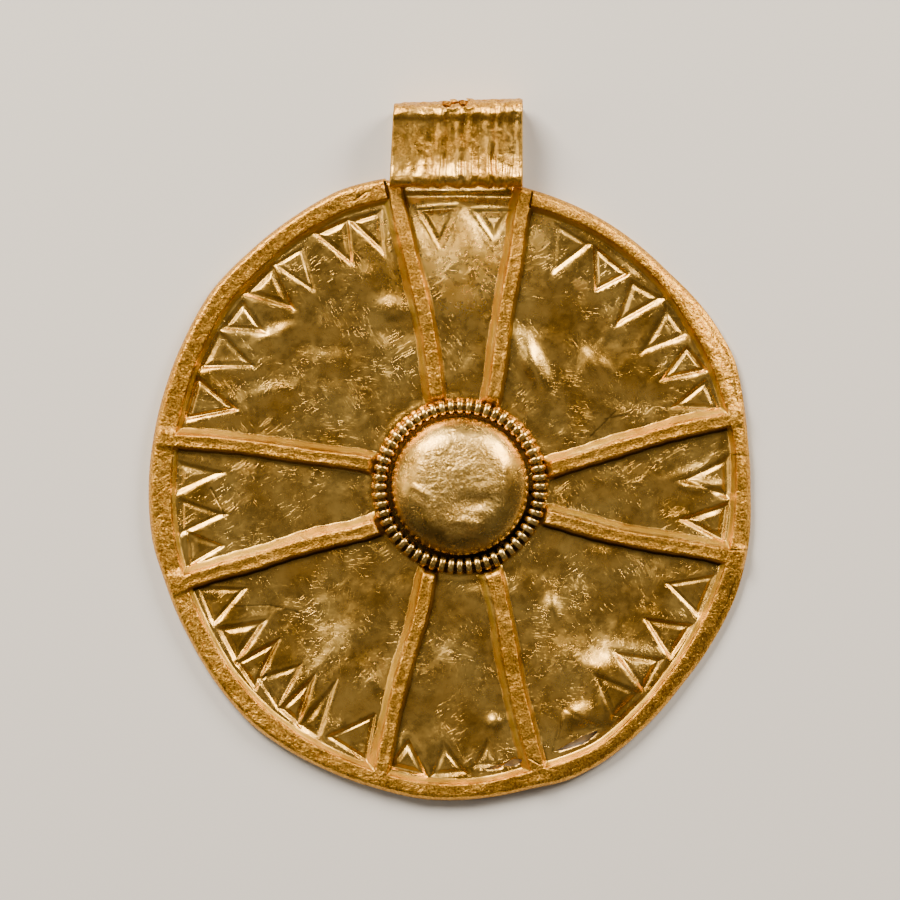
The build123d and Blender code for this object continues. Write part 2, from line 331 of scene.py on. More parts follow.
disc = {
    "radius": 19.5,  # mean radius of the edge
    "sheet": 0.28,
    "seamGap": 0.03,  # solder between the disc and what lies against it
    "innerRadius": 4.6,  # under the beaded ring, where the relief begins
    # rim
    "rimHeight": discHigh.z,
    "rimGap": (74.4, 75.2, 101.3, 102.2),  # angles where the rim fades out and in again under the loop
    "wallRun": 0.373,  # sideways run of the rim's inner wall
    "footRun": 0.187,
    "leastTop": 0.6,  # the rim's top is never narrower
    "topMargin": 0.04,  # the tops lie this much under the CAD ones, and nothing rises above those
    "ridgeExtra": 0.02,  # ridges are this much higher than the rim
    "fallRight": 0.33,  # how far the rim's top falls outwards on the right
    "fallLeft": 0.12,  # and inwards on the left
    "rollRun": 0.32,  # how far the beaten edge rounds over
    "rollFoot": 0.42,  # height where the rounded edge turns upright
    # field
    "fieldRise": 0.13,  # the field lies this much above the foot of the ridges
    "swellSize": 4.2,
    "swellHeight": 0.13,
    "rippleSize": 1.7,
    "rippleHeight": 0.045,
    "dentStrength": 1.35,
    "filletHeight": 0.13,  # solder drawn up against the collar
    "filletWidth": 0.26,
    # marks
    "punchDepth": 0.17,
    "punchMargin": 0.12,  # least distance from a punch's corner to the rim's wall
    "grooveWidth": 0.18,
    "crackWidth": 0.07,
    "tearMargin": 0.85,  # from the rim's inner edge in to the middle of the tears
    "tearPoints": 15,
    "tearRagged": 0.03,
    # mesh
    "punchZone": 3.9,  # from the rim's inner edge in to the punches' tips
    "sectorPitch": 0.33,  # spacing of the mesh's spokes near the rim
    "fieldRings": 36,
    "ringCrowding": 1.3,  # above 1 the field's rings lie closer together near the collar
    "punchRings": 14,
    "wallRings": 6,
    "topRings": 7,
    "rollRings": 5,
    "backRings": 9,
}
ringKeys = ["fieldRings", "punchRings", "wallRings", "topRings", "rollRings"]

collar = {
    "beads": 56,
    "beadSides": 24,
    "beadRings": 10,
    "wire": (collarHigh.z - collarLow.z) / 2,  # radius of the wire over its beads
    "beadLength": 0.52,
    "beadFullness": 4.5,  # above 2 a bead is a barrel, flatter than a ball
    "tilt": 0.05,
    "unevenness": 0.05,
    "coreShare": 0.74,  # radius of the wire between its beads
    "coreSides": 14,
    "coreSteps": 152,
}
collar["radius"] = collarReach - collar["wire"]

# Edge of the disc and inner edge of the rim's top: angle, and both radii as shares of the radius
rimRows = [
    (0, 0.985, 0.939),
    (10, 0.991, 0.949),
    (18, 1.009, 0.946),
    (25, 1.030, 0.952),
    (35, 1.026, 0.958),
    (45, 1.014, 0.971),
    (60, 1.021, 0.978),
    (75, 1.024, 0.973),
    (90, 1.038, 0.978),
    (103, 1.048, 0.982),
    (110, 1.052, 0.985),
    (120, 1.035, 0.975),
    (130, 1.024, 0.962),
    (140, 1.022, 0.955),
    (150, 1.004, 0.939),
    (160, 0.993, 0.926),
    (170, 0.988, 0.919),
    (180, 0.989, 0.917),
    (190, 0.990, 0.919),
    (197, 0.981, 0.919),
    (210, 0.983, 0.922),
    (220, 0.994, 0.935),
    (230, 1.006, 0.942),
    (245, 1.001, 0.945),
    (257, 1.005, 0.954),
    (265, 1.015, 0.962),
    (275, 1.014, 0.965),
    (285, 1.011, 0.957),
    (292, 1.025, 0.964),
    (300, 1.021, 0.971),
    (310, 1.004, 0.952),
    (320, 0.991, 0.939),
    (330, 0.993, 0.934),
    (340, 0.999, 0.935),
    (350, 0.9955, 0.939),
]

# Ridges in order round the disc: their angle at each of these radii
ridgeRadii = [5.5, 8, 10.5, 13, 15.5, 18]
ridgeAngles = [
    (11.5, 13.0, 14.1, 14.6, 14.9, 14.3),
    (63.0, 67.9, 71.6, 73.5, 74.2, 75.6),
    (98.0, 97.6, 97.7, 98.8, 99.7, 100.3),
    (161.4, 165.2, 166.7, 167.6, 168.6, 169.8),
    (206.4, 201.9, 200.3, 200.1, 199.1, 199.0),
    (255.7, 257.0, 255.8, 255.5, 255.8, 256.2),
    (298.5, 293.9, 290.7, 288.6, 287.9, 287.5),
    (344.9, 344.9, 344.7, 345.5, 346.5, 346.8),
]
ridgeWidths = [1.0, 1.0, 1.0, 0.98, 1.05, 0.96, 1.12, 1.02]

# Profile across a ridge: distance from its middle in millimetres, and height as a share, on the side that
# slopes softly and on the steep side. The soft side faces left or up: 1 where it lies anticlockwise.
ridgeSteps = [0, 0.15, 0.29, 0.39, 0.45, 0.53, 0.62, 0.66, 0.75, 0.87, 0.91, 0.95, 1.2]
softHeights = [0.97, 0.98, 1.0, 0.98, 0.92, 0.81, 0.65, 0.57, 0.36, 0.07, 0, 0, 0]
steepHeights = [0.97, 0.98, 1.0, 1.0, 0.84, 0.44, 0.06, 0, 0, 0, 0, 0, 0]
softSides = [1, 1, 1, -1, -1, -1, -1, 1]
# How dark the painted shade at the foot of each steep side is, and where across the ridge the painted
# shade begins, is full and ends
footShadeShares = [0.9, 0.35, 0.3, 0.7, 0.95, 0.45, 0.3, 0.95]
footShadeSteps = [0.46, 0.54, 0.66, 0.8]

# Punches, read off the photo: one base corner, the other, and the tip, each as an angle in degrees and a
# distance from the disc's middle in pixels of the photo
pixel = 0.064  # millimetres
punchRows = [
    (96.3, 283, 88.6, 284, 92.4, 244),
    (85, 281, 77.7, 287, 80, 255),
    (68.5, 287, 60.6, 283, 64.9, 241),
    (59.5, 284, 50.8, 280, 54, 248),
    (49.1, 277, 42.3, 286, 45, 236.5),
    (40.3, 284, 33.3, 286, 35.9, 236),
    (31.4, 277, 25.3, 287, 27.7, 239.5),
    (23.4, 278, 17.1, 279.5, 20.6, 238),
    (6.8, 279, -1.4, 278, 2.7, 232),
    (-2.7, 277, -10.4, 276.5, -7, 234),
    (342.1, 277, 333.5, 277, 336.9, 236),
    (330.8, 276, 322.9, 276, 326.8, 234),
    (321.4, 270, 314, 278, 315.8, 232),
    (313.2, 276.5, 305.6, 280, 308.2, 233),
    (302.4, 280, 291.6, 280, 297.5, 243),
    (279.9, 279, 275.2, 276, 278.7, 252),
    (273.2, 282, 266.4, 285, 268.5, 252),
    (265, 285, 257.7, 282, 260.5, 253),
    (252.8, 283, 243.7, 274, 251.4, 236),
    (241.9, 280, 237.3, 278, 239.1, 225),
    (237, 278, 232.1, 275.5, 233.7, 231),
    (231.6, 277, 224.3, 268, 229.3, 229),
    (225.3, 277, 218.9, 273, 221, 228),
    (218.7, 273, 210.8, 268.5, 215, 227),
    (209.5, 271, 201.1, 269, 205.5, 227),
    (195.8, 269, 189, 265, 193.6, 234),
    (189.1, 274, 181.8, 269.5, 185.9, 228),
    (180.2, 273, 174, 273, 175.5, 230),
    (164.7, 273, 155.9, 277, 159.1, 229),
    (153.5, 279, 145.3, 280, 147.6, 233),
    (144.4, 279, 137.6, 280, 139.4, 245),
    (136.1, 285, 128.2, 286, 130.7, 241),
    (127.8, 289, 121.4, 284, 124.2, 241),
    (117.6, 290, 110.8, 290, 113.4, 247),
    (110.3, 288, 104, 288, 105.5, 247),
]

# Punches that were struck lightly, by their place in the list above, and their depth as a share
faintPunches = {0: 0.7, 1: 0.7, 14: 0.25, 15: 0.8, 25: 0.75, 26: 0.7}

# Swellings and hollows of the field: middle, length, width, turn in degrees and height
dentRows = [
    (-3.6, 11.7, 0.9, 0.7, 0, 0.24),
    (-3.3, 10.3, 1.5, 0.6, 0, -0.16),
    (-5.1, 13.8, 0.9, 0.5, 20, 0.14),
    (-11.2, 10.9, 1.4, 0.8, 40, -0.16),
    (-8.0, 9.4, 1.9, 0.6, -5, -0.14),
    (-11.5, 9.8, 1.7, 0.5, 25, 0.14),
    (-11.3, 6.3, 1.8, 0.6, 10, 0.12),
    (-7.6, 7.2, 0.7, 0.5, 0, -0.10),
    (-14.2, 7.9, 1.6, 0.4, 10, 0.10),
    (5.3, 10.8, 1.3, 0.7, 0, -0.20),
    (5.3, 8.1, 1.5, 0.62, 116, 0.42),
    (8.8, 10.8, 2.3, 1.3, -20, -0.20),
    (8.0, 8.4, 1.0, 0.4, 90, -0.12),
    (9.4, 8.1, 1.2, 0.55, -45, 0.22),
    (11.6, 5.8, 0.9, 0.6, 0, -0.12),
    (12.2, 7.4, 1.5, 0.9, -20, 0.10),
    (-8.8, -6.0, 2.2, 1.1, 10, -0.18),
    (-3.9, -5.3, 1.0, 0.8, 0, -0.12),
    (-6.2, -9.2, 2.3, 1.1, 50, 0.16),
    (-5.1, -12.4, 0.7, 0.6, 0, 0.14),
    (-7.3, -15.1, 0.6, 0.4, -20, 0.14),
    (6.5, -7.4, 0.4, 0.9, 0, 0.22),
    (10.2, -12.8, 3.8, 2.6, 45, 0.5),
    (7.4, -10.0, 1.0, 1.6, 0, 0.14),
    (-6.2, -12.2, 2.4, 2.2, 0, 0.24),
    (6.3, -4.6, 2.2, 1.2, -15, -0.16),
    (9.8, -4.1, 0.6, 0.45, 0, 0.12),
    (9.8, -11.2, 1.4, 0.7, -10, 0.20),
    (6.0, -11.0, 1.2, 2.2, 20, 0.16),
    (8.4, -14.2, 1.2, 0.55, 10, 0.18),
    (8.3, -15.4, 1.1, 0.4, 15, -0.14),
    (2.9, -14.8, 0.5, 0.4, 0, 0.26),
    (3.2, -16.4, 0.2, 1.2, 0, -0.14),
    (0.6, -10.5, 1.2, 2.0, 0, 0.10),
    (16.2, 0.3, 1.2, 0.4, 0, 0.20),
    (15.4, 1.7, 1.0, 0.4, 10, -0.08),
    (15.6, -1.3, 1.0, 0.4, -5, -0.08),
    (10.8, 0.5, 1.8, 1.2, 0, 0.08),
    (-11.5, 0.6, 2.2, 1.2, 0, 0.10),
    (-9.0, -2.2, 2.0, 0.8, 15, -0.08),
    (1.4, 13.4, 1.7, 1.0, 0, 0.12),
    (1.6, 9.4, 1.2, 1.4, 0, -0.08),
]

# Tears along the foot of the rim: angles of one end, the widest point and the other end, and the width
tearRows = [
    (-83.6, -80.2, -79.0, 0.22),
    (-79.2, -76.6, -74.9, 0.5),
    (-68.2, -61.5, -58.2, 0.5),
]

# Fine cracks and cuts: two ends and depth
crackRows = [
    ((-11.75, -11.75), (-12.45, -12.65), 0.12),
    ((-6.1, 18.55), (-5.45, 19.05), 0.14),
    ((18.1, 2.3), (19.1, 2.25), 0.05),
    ((17.9, -3.8), (19.0, -3.75), 0.05),
    ((5.1, -17.1), (5.75, -17.5), 0.06),
    ((-15.3, 0.2), (-14.5, -1.3), 0.07),
    ((-14.5, -1.3), (-14.35, -1.75), 0.12),
    ((9.0, 3.5), (10.6, 5.1), 0.015),
    ((9.9, 4.6), (11.3, 4.9), 0.01),
    ((-14.0, -7.35), (-11.6, -7.3), 0.025),
    ((-11.6, -7.3), (-9.6, -7.75), 0.02),
    ((-4.15, 19.75), (-3.95, 18.7), 0.45),
    ((5.25, 19.1), (5.1, 18.1), 0.45),
]

# The disc stops short under the loop, where its sheet is lifted over the loop's tongue
seat = {
    "middle": (loopLow.x + loopHigh.x) / 2,
    "half": (loopHigh.x - loopLow.x) / 2,
    "foot": loopLow.y,
    "overlap": 0.7,  # how far the disc runs on under the loop
    "beside": 0.15,  # the shorter edge is this much wider than the loop on each side
    "tongueInset": 1.0,  # the tongue is this much narrower than the loop on each side
    "slope": 0.33,  # run over which the sheet rises
}


def rimShare(column, angle):
    # radius from the table, its corners rounded over three degrees
    rows = rimRows + [(360,) + rimRows[0][1:]]
    turns = [row[0] for row in rows]
    values = [row[column] for row in rows]
    near = [np.interp((angle + step) % 360, turns, values) for step in (-1.5, 0, 1.5)]
    return disc["radius"] * sum(near) / 3


def outerRadius(angle):
    radius = rimShare(1, angle)
    up = np.sin(np.radians(angle))
    side = np.cos(np.radians(angle))
    cut = (seat["foot"] + seat["overlap"]) / np.maximum(up, 0.2)
    near = np.abs(cut * side - seat["middle"]) < seat["half"] + seat["beside"]
    return np.where(near & (up > 0.5), np.minimum(radius, cut), radius)


def innerRadius(angle):
    return rimShare(2, angle)


def ridgeAngle(number, radius):
    # angle from the table, its corners rounded
    near = [np.interp(radius + step, ridgeRadii, ridgeAngles[number]) for step in (-0.9, 0, 0.9)]
    return sum(near) / 3


def ridgeWidth(number, radius):
    # hand-cut edges: the width wanders a little along the ridge
    wander = 0.035 * np.sin(radius * 1.3 + number * 2.1) + 0.025 * np.sin(radius * 4.7 + number)
    return ridgeWidths[number] * (1 + wander)


def punchCorners(row):
    # corners in millimetres, anticlockwise, so the two base corners change places
    corners = []
    for turn, distance in zip(row[::2], row[1::2]):
        furthest = float(innerRadius(np.array(turn % 360))) - disc["wallRun"] - disc["punchMargin"]
        radius = min(distance * pixel, furthest)
        corners.append(radius * np.array((cos(radians(turn)), sin(radians(turn)))))
    return corners[1::-1] + corners[2:]


punches = [punchCorners(row) for row in punchRows]


def insideTriangle(x, y, corners):
    # distance inwards from the nearest side, negative outside
    depth = np.full(x.shape, 1e9)
    for start, end in zip(corners, corners[1:] + corners[:1]):
        run = (end - start) / np.linalg.norm(end - start)
        depth = np.minimum(depth, run[0] * (y - start[1]) - run[1] * (x - start[0]))
    return depth


def ridgeCover(x, y, narrower=0.0):
    # height share of the ridges at each point, and the painted shade at the foot of their steep sides
    radius, angle = polar(x, y)
    cover = np.zeros_like(x)
    paintedShade = np.zeros_like(x)
    for number in range(len(ridgeAngles)):
        turn = (angle - ridgeAngle(number, radius) + 180) % 360 - 180
        across = np.abs(np.radians(turn)) * radius / ridgeWidth(number, radius) + narrower
        soft = np.interp(across, ridgeSteps, softHeights)
        steep = np.interp(across, ridgeSteps, steepHeights)
        ridge = np.where(turn * softSides[number] > 0, soft, steep)
        cover = np.maximum(ridge, cover)
        dark = np.interp(across, footShadeSteps, [0, 1, 1, 0]) * footShadeShares[number]
        paintedShade = np.maximum(paintedShade, dark * (turn * softSides[number] < 0))
    out = softStep(-0.1, 0.35, hubDistance(x, y) - collarReach)
    return cover * out, paintedShade * out


def rimCover(x, y, narrower=0.0):
    radius, angle = polar(x, y)
    inwards = innerRadius(angle) - radius + narrower
    cover = np.interp(inwards, np.linspace(0, disc["wallRun"], 5), [1, 0.86, 0.58, 0.3, 0])
    fadeOut, gone, back, full = disc["rimGap"]
    gap = softStep(fadeOut, gone, angle) * (1 - softStep(back, full, angle))
    return cover * (1 - gap)


def seatLift(x, y):
    # rise of the sheet over the loop's tongue
    half = seat["half"] - seat["tongueInset"] + disc["sheet"]
    across = 1 - softStep(half - 0.15, half + 0.1, np.abs(x - seat["middle"]))
    along = softStep(seat["foot"] - seat["slope"], seat["foot"] + disc["seamGap"], y)
    return (disc["sheet"] + disc["seamGap"]) * along * across


def crackDistance(x, y, start, end):
    (left, down), (right, up) = start, end
    runX, runY = right - left, up - down
    share = np.clip(((x - left) * runX + (y - down) * runY) / (runX ** 2 + runY ** 2), 0, 1)
    return np.hypot(x - left - share * runX, y - down - share * runY)


def swellHeight(rows, x, y):
    # sum of the soft swellings and hollows in a table
    total = np.zeros_like(x)
    for left, up, length, width, turn, height in rows:
        along = (x - left) * cos(radians(turn)) + (y - up) * sin(radians(turn))
        across = (y - up) * cos(radians(turn)) - (x - left) * sin(radians(turn))
        total += height * np.exp(-(along / length) ** 2 - (across / width) ** 2)
    return total


def fieldSwell(x, y):
    # soft dents and swellings of the thin sheet, none under the hub and few at the rim
    swell = disc["fieldRise"] + disc["swellHeight"] * softNoise(x, y, disc["swellSize"], 3.1)
    swell += disc["rippleHeight"] * softNoise(x, y, disc["rippleSize"], 8.4)
    swell += disc["dentStrength"] * swellHeight(dentRows, x, y)
    fromCollar = hubDistance(x, y) - collarReach
    radius, angle = polar(x, y)
    toRim = softStep(-0.2, 1.4, innerRadius(angle) - radius)
    swell = np.maximum(swell, 0) * softStep(-0.2, 1.5, fromCollar) * (0.25 + 0.75 * toRim)
    # solder drawn up against the collar
    solder = np.exp(-((fromCollar - disc["seamGap"]) / disc["filletWidth"]) ** 2)
    return swell + disc["filletHeight"] * solder


def punchRelief(x, y):
    # each blow a little different: depth, and steepness of the groove's two sides
    relief = np.zeros_like(x)
    for number, corners in enumerate(punches):
        deep = disc["punchDepth"] * faintPunches.get(number, 1 + 0.3 * sin(number * 2.3))
        outer = disc["grooveWidth"] * (1 + 0.35 * sin(number * 1.7))
        inner = outer + disc["grooveWidth"] * (0.9 + 0.4 * sin(number * 3.1))
        inwards = insideTriangle(x, y, corners)
        grooveStops = [-outer * 0.9, outer * 0.35, outer * 0.6, inner, inner + 0.15]
        relief += np.interp(inwards, grooveStops, [0, -deep, -deep, -deep * 0.1, 0])
        # metal pushed up round the blow
        relief += deep * 0.5 * np.exp(-((inwards + 0.2) / 0.4) ** 2)
    return relief


def frontHeight(x, y):
    radius, angle = polar(x, y)
    field = disc["sheet"] + fieldSwell(x, y) + punchRelief(x, y)
    ridges = ridgeCover(x, y)[0]
    cover = np.maximum(ridges, rimCover(x, y))
    # the rim falls outwards on the right and inwards on the left
    side = np.cos(np.radians(angle))
    outwards = softStep(0.1, 1.2, radius - innerRadius(angle))
    sag = (0.03 + disc["fallRight"] * np.maximum(side, 0)) * outwards
    sag += disc["fallLeft"] * np.maximum(-side, 0) * (1 - outwards)
    top = disc["rimHeight"] - disc["topMargin"] + disc["ridgeExtra"] * ridges - sag * (1 - ridges)
    height = field + (top - field) * cover
    # grit and hammer marks on the tops, kept low
    grit = softNoise(x, y, 0.35, 5.5) * 0.032 + softNoise(x, y, 1.1, 2.5) * 0.045
    height += np.minimum(grit, 0.02) * softStep(0.85, 1, cover)
    for start, end, depth in crackRows:
        height -= depth * np.clip(1 - crackDistance(x, y, start, end) / disc["crackWidth"], 0, 1)
    # the beaten edge rounds over
    out = outerRadius(angle) - radius
    roll = np.clip(1 - out / disc["rollRun"], 0, 1)
    rolled = disc["rollFoot"] + (height - disc["rollFoot"]) * np.maximum(1 - roll ** 2, 0)
    height = np.where(height > disc["rollFoot"], rolled, height - 0.1 * roll)
    return height + seatLift(x, y)


def backHeight(x, y):
    # the sheet is thin, so the back is hollow under the ridges and the rim
    cover = np.maximum(ridgeCover(x, y, 0.24)[0], rimCover(x, y, 0.12))
    swell = fieldSwell(x, y)
    return swell + (disc["rimHeight"] - disc["sheet"] - swell) * cover + seatLift(x, y)


# Spokes of the mesh: dense across each ridge, even between them, so that edges follow the relief
def discSpokes():
    spokes = []
    across = [-step for step in ridgeSteps[:0:-1]] + ridgeSteps
    count = len(ridgeAngles)
    for number in range(count):
        after = (number + 1) % count
        turn = (ridgeAngles[after][-1] - ridgeAngles[number][-1]) % 360
        spokes += [(number, step, number, step, 0) for step in across[:-1]]
        parts = round(radians(turn) * disc["radius"] * 0.9 / disc["sectorPitch"])
        spokes += [(number, ridgeSteps[-1], after, -ridgeSteps[-1], part / parts) for part in range(parts)]
    return spokes


def spokeAngles(spokes, radius):
    first, stepA, second, stepB, share = np.array(spokes).T
    one, two = np.zeros(len(spokes)), np.zeros(len(spokes))
    for number in range(len(ridgeAngles)):
        middle = ridgeAngle(number, radius)
        width = ridgeWidth(number, radius) / radius
        one = np.where(first == number, middle + np.degrees(stepA * width), one)
        two = np.where(second == number, middle + np.degrees(stepB * width), two)
    return one + ((two - one + 180) % 360 - 180) * share


def ringRadius(ring, angle):
    # radius of a ring, counted from the hub out over field, punches, wall, top and rolled edge
    edge = outerRadius(angle)
    rim = np.minimum(innerRadius(angle), edge - disc["leastTop"])
    stops = [
        np.full_like(rim, disc["innerRadius"]),
        rim - disc["punchZone"],
        rim - disc["wallRun"] - disc["footRun"],
        rim,
        edge - disc["rollRun"],
        edge,
    ]
    for start, end, key in zip(stops, stops[1:], ringKeys):
        count = disc[key]
        if ring <= count:
            share = ring / count
            if start is stops[0]:
                share = share ** disc["ringCrowding"]
            if end is stops[-1]:
                share = sin(share * pi / 2)
            return start + (end - start) * share
        ring -= count
    return edge


def prismCutter(outlines, low, high):
    # one upright prism for each outline, all in one object
    bm = bmesh.new()
    for outline in outlines:
        face = bm.faces.new([bm.verts.new((x, y, low)) for x, y in outline])
        made = bmesh.ops.extrude_face_region(bm, geom=[face])["geom"]
        bmesh.ops.translate(bm, vec=(0, 0, high - low), verts=onlyVerts(made))
    bmesh.ops.recalc_face_normals(bm, faces=bm.faces)
    return meshObject(bm, "cutter")


def tearOutline(start, middle, end, width):
    # a thin leaf along the rim's foot, with ragged sides
    outline = []
    turns = np.linspace(start, end, disc["tearPoints"])
    for side, around in ((1, turns), (-1, turns[::-1])):
        for turn in around[:-1]:
            half = width / 2 * np.interp(turn, [start, middle, end], [0, 1, 0]) ** 0.8
            half += disc["tearRagged"] * noise.noise(Vector((turn * 1.7, side * 3, 4)))
            radius = float(innerRadius(np.array(turn % 360))) - disc["tearMargin"] + side * half
            outline.append((radius * cos(radians(turn)), radius * sin(radians(turn))))
    return outline


def cutAway(piece, cutter):
    # takes the cutter's shape out of the piece, then removes it
    cut = piece.modifiers.new("cut", "BOOLEAN")
    cut.operation = "DIFFERENCE"
    cut.solver = "MANIFOLD"
    cut.object = cutter
    bpy.context.view_layer.update()
    shape = piece.evaluated_get(bpy.context.evaluated_depsgraph_get())
    mesh = bpy.data.meshes.new_from_object(shape)
    piece.modifiers.clear()
    piece.data = mesh
    bpy.data.objects.remove(cutter)
    print(piece.name, "cut,", len(mesh.polygons), "faces")


def bentGrid(spokes):
    # a flat grid bent round the hub: columns become spokes and rows rings, and a vertex keeps its spoke
    rings = sum(disc[key] for key in ringKeys)
    bm = bmesh.new()
    bmesh.ops.create_grid(bm, x_segments=len(spokes), y_segments=rings, size=0.5)
    spokeLayer = bm.verts.layers.int.new("spoke")
    halfway = [row[3] for row in ridgeAngles]
    angles = np.array([
        halfway[one] + (halfway[two] - halfway[one]) % 360 * share
        for one, _, two, _, share in spokes
    ])
    radii = []
    turns = []
    for ring in range(rings + 1):
        # radius and angle depend on each other, so they are settled in three rounds
        for _ in range(3):
            radius = ringRadius(ring, angles % 360)
            angles = spokeAngles(spokes, radius)
        radii.append(radius)
        turns.append(angles)
    for vert in bm.verts:
        spoke = round((vert.co.x + 0.5) * len(spokes)) % len(spokes)
        ring = round((vert.co.y + 0.5) * rings)
        turn, radius = radians(turns[ring][spoke]), radii[ring][spoke]
        vert.co = (radius * cos(turn), radius * sin(turn), 0)
        vert[spokeLayer] = spoke
    bmesh.ops.remove_doubles(bm, verts=bm.verts, dist=1e-5)
    return bm, radii[-1], turns[-1]


def refineMarks(bm):
    # finer mesh round the punches and the cracks
    for width in (0.28, 0.16):
        x, y = np.array([vert.co.xy for vert in bm.verts]).T
        near = np.zeros(len(x), dtype=bool)
        for corners in punches:
            near |= insideTriangle(x, y, corners) > -width
        for start, end, _ in crackRows:
            near |= crackDistance(x, y, start, end) < width * 1.2
        bm.verts.ensure_lookup_table()
        bm.verts.index_update()
        edges = [edge for edge in bm.edges if all(near[vert.index] for vert in edge.verts)]
        bmesh.ops.subdivide_edges(bm, edges=edges, cuts=1, use_grid_fill=True)


def addBack(bm, spokes, edge, edgeTurns):
    # side and back: the outer edge is drawn down and inwards ring by ring
    wall = disc["sheet"]
    rim = innerRadius(edgeTurns % 360)
    underRim = edge - wall - 0.06
    backStops = [edge, edge - 0.05, edge - wall, underRim]
    backStops += [rim + (underRim - rim) * share for share in (0.6, 0.25)]
    backStops += [rim - 0.12 - step for step in (0, 0.1, 0.3, 0.43, 0.7, 1.0)]
    start = backStops[-1]
    count = disc["backRings"]
    backStops += [start + (disc["innerRadius"] - start) * part / count for part in range(1, count + 1)]
    spokeLayer = bm.verts.layers.int["spoke"]
    lastEdges = [e for e in bm.edges if e.is_boundary and all(v.co.xy.length > 15 for v in e.verts)]
    for number, radius in enumerate(backStops):
        made = bmesh.ops.extrude_edge_only(bm, edges=lastEdges)["geom"]
        lastEdges = [part for part in made if isinstance(part, bmesh.types.BMEdge) and part.is_boundary]
        angles = np.radians(spokeAngles(spokes, radius))
        x = radius * np.cos(angles)
        y = radius * np.sin(angles)
        if number == 0:
            z = seatLift(x, y) + 0.08  # the edge's foot is a little rounded
        elif number < 3:
            z = seatLift(x, y)
        else:
            z = backHeight(x, y)
        for vert in onlyVerts(made):
            spoke = vert[spokeLayer]
            vert.co = (x[spoke], y[spoke], z[spoke])
    bmesh.ops.holes_fill(bm, edges=[e for e in bm.edges if e.is_boundary], sides=0)


def shadeDisc(mesh):
    # worn tops, painted shade with a warm reflected tint on the walls beside them, and painted shade at
    # the feet of steep sides, in cracks and round the collar, all on the front alone
    x, y, z = meshPoints(mesh).T
    ridges, paintedShade = ridgeCover(x, y)
    rim = rimCover(x, y)
    cover = np.maximum(ridges, rim)
    paintedShade *= 1 - softStep(0, 0.3, rim)
    # painted shade in the cracks
    for start, end, _ in crackRows:
        near = 1.3 - crackDistance(x, y, start, end) / disc["crackWidth"]
        paintedShade = np.maximum(paintedShade, 0.6 * np.clip(near, 0, 1))
    # shade in the narrow gap between boss and collar, darker below
    lower = softStep(-0.3, 0.5, (hub.y - y) / collar["radius"])
    shade = 1 - softStep(0, 0.3, hubDistance(x, y) - collar["radius"])
    paintedShade = np.maximum(paintedShade, shade * (0.35 + 0.65 * lower))
    front = softStep(-0.15, 0, z - frontHeight(x, y))
    # painted shade with a warm reflected tint on the walls of ridges and rim
    creaseShade = softStep(0.02, 0.3, cover) * (1 - softStep(0.5, 0.95, cover))
    storeMask(mesh, "worn", softStep(0.86, 1, cover) * front)
    storeMask(mesh, "creaseShade", creaseShade * front)
    storeMask(mesh, "paintedShade", paintedShade * front)


def discPiece():
    spokes = discSpokes()
    bm, edge, edgeTurns = bentGrid(spokes)
    refineMarks(bm)
    heights = frontHeight(*np.array([vert.co.xy for vert in bm.verts]).T)
    for vert, height in zip(bm.verts, heights):
        vert.co.z = height
    addBack(bm, spokes, edge, edgeTurns)
    bmesh.ops.recalc_face_normals(bm, faces=bm.faces)
    piece = finishPiece(bm, "embossed_gold_disc", sheetGold, "embossed_disc")
    cutAway(piece, prismCutter([tearOutline(*row) for row in tearRows], -1, 2))
    shadeDisc(piece.data)


discPiece()
print("disc made")


def addBead(bm, place):
    # a barrel: a ball of radius 1 whose sides are pushed out towards a flat drum
    sides, rings = collar["beadSides"], collar["beadRings"]
    bead = bmesh.ops.create_uvsphere(bm, u_segments=sides, v_segments=rings, radius=1)["verts"]
    for vert in bead:
        level = abs(vert.co.z)
        if level < 0.999:
            spread = ((1 - level ** collar["beadFullness"]) / (1 - level ** 2)) ** 0.5
            vert.co.x *= spread
            vert.co.y *= spread
        vert.co.z *= collar["beadLength"] / 2 / collar["wire"]
    bmesh.ops.transform(bm, matrix=place, verts=bead)


def collarPiece():
    bm = bmesh.new()
    height = (collarLow.z + collarHigh.z) / 2
    middle = Matrix.Translation((hub.x, hub.y, height))
    onRing = Matrix.Translation((collar["radius"], 0, 0))
    for number in range(collar["beads"]):
        turn = Matrix.Rotation(2 * pi * number / collar["beads"], 4, "Z")
        tilt = collar["tilt"] * noise.noise(Vector((number * 0.7, 0, 1)))
        size = 1 - collar["unevenness"] * abs(noise.noise(Vector((number * 0.9, 3, 1))))
        lie = Matrix.Rotation(pi / 2 + tilt, 4, "X") @ Matrix.Scale(collar["wire"] * size, 4)
        addBead(bm, middle @ turn @ onRing @ lie)
    # the wire between the beads
    core = collar["wire"] * collar["coreShare"]
    ring = bmesh.ops.create_circle(bm, cap_ends=False, segments=collar["coreSides"], radius=core)["verts"]
    bmesh.ops.transform(bm, matrix=middle @ onRing @ Matrix.Rotation(pi / 2, 4, "X"), verts=ring)
    edges = list(dict.fromkeys(edge for vert in ring for edge in vert.link_edges))
    bmesh.ops.spin(bm, geom=ring + edges, cent=(hub.x, hub.y, height), axis=(0, 0, 1), angle=2 * pi,
                   steps=collar["coreSteps"], use_merge=True)
    bmesh.ops.recalc_face_normals(bm, faces=bm.faces)
    piece = finishPiece(bm, "beaded_wire_collar", wireGold, "beaded_collar")
    x, y, z = meshPoints(piece.data).T
    across = hubDistance(x, y) - collar["radius"]
    fromMiddle = np.hypot(across, z - height) / collar["wire"]
    # painted shade on the core and the inner sides of the beads
    storeMask(piece.data, "creaseShade", 1 - softStep(0.86, 0.95, fromMiddle))
    # painted shade in the gaps between beads, black on the lower side alone
    lower = softStep(-0.3, 0.5, (hub.y - y) / collar["radius"])
    between = 1 - softStep(0.76, 0.9, fromMiddle)
    storeMask(piece.data, "paintedShade", (0.15 + 0.7 * lower) * between)


collarPiece()
print("collar made")

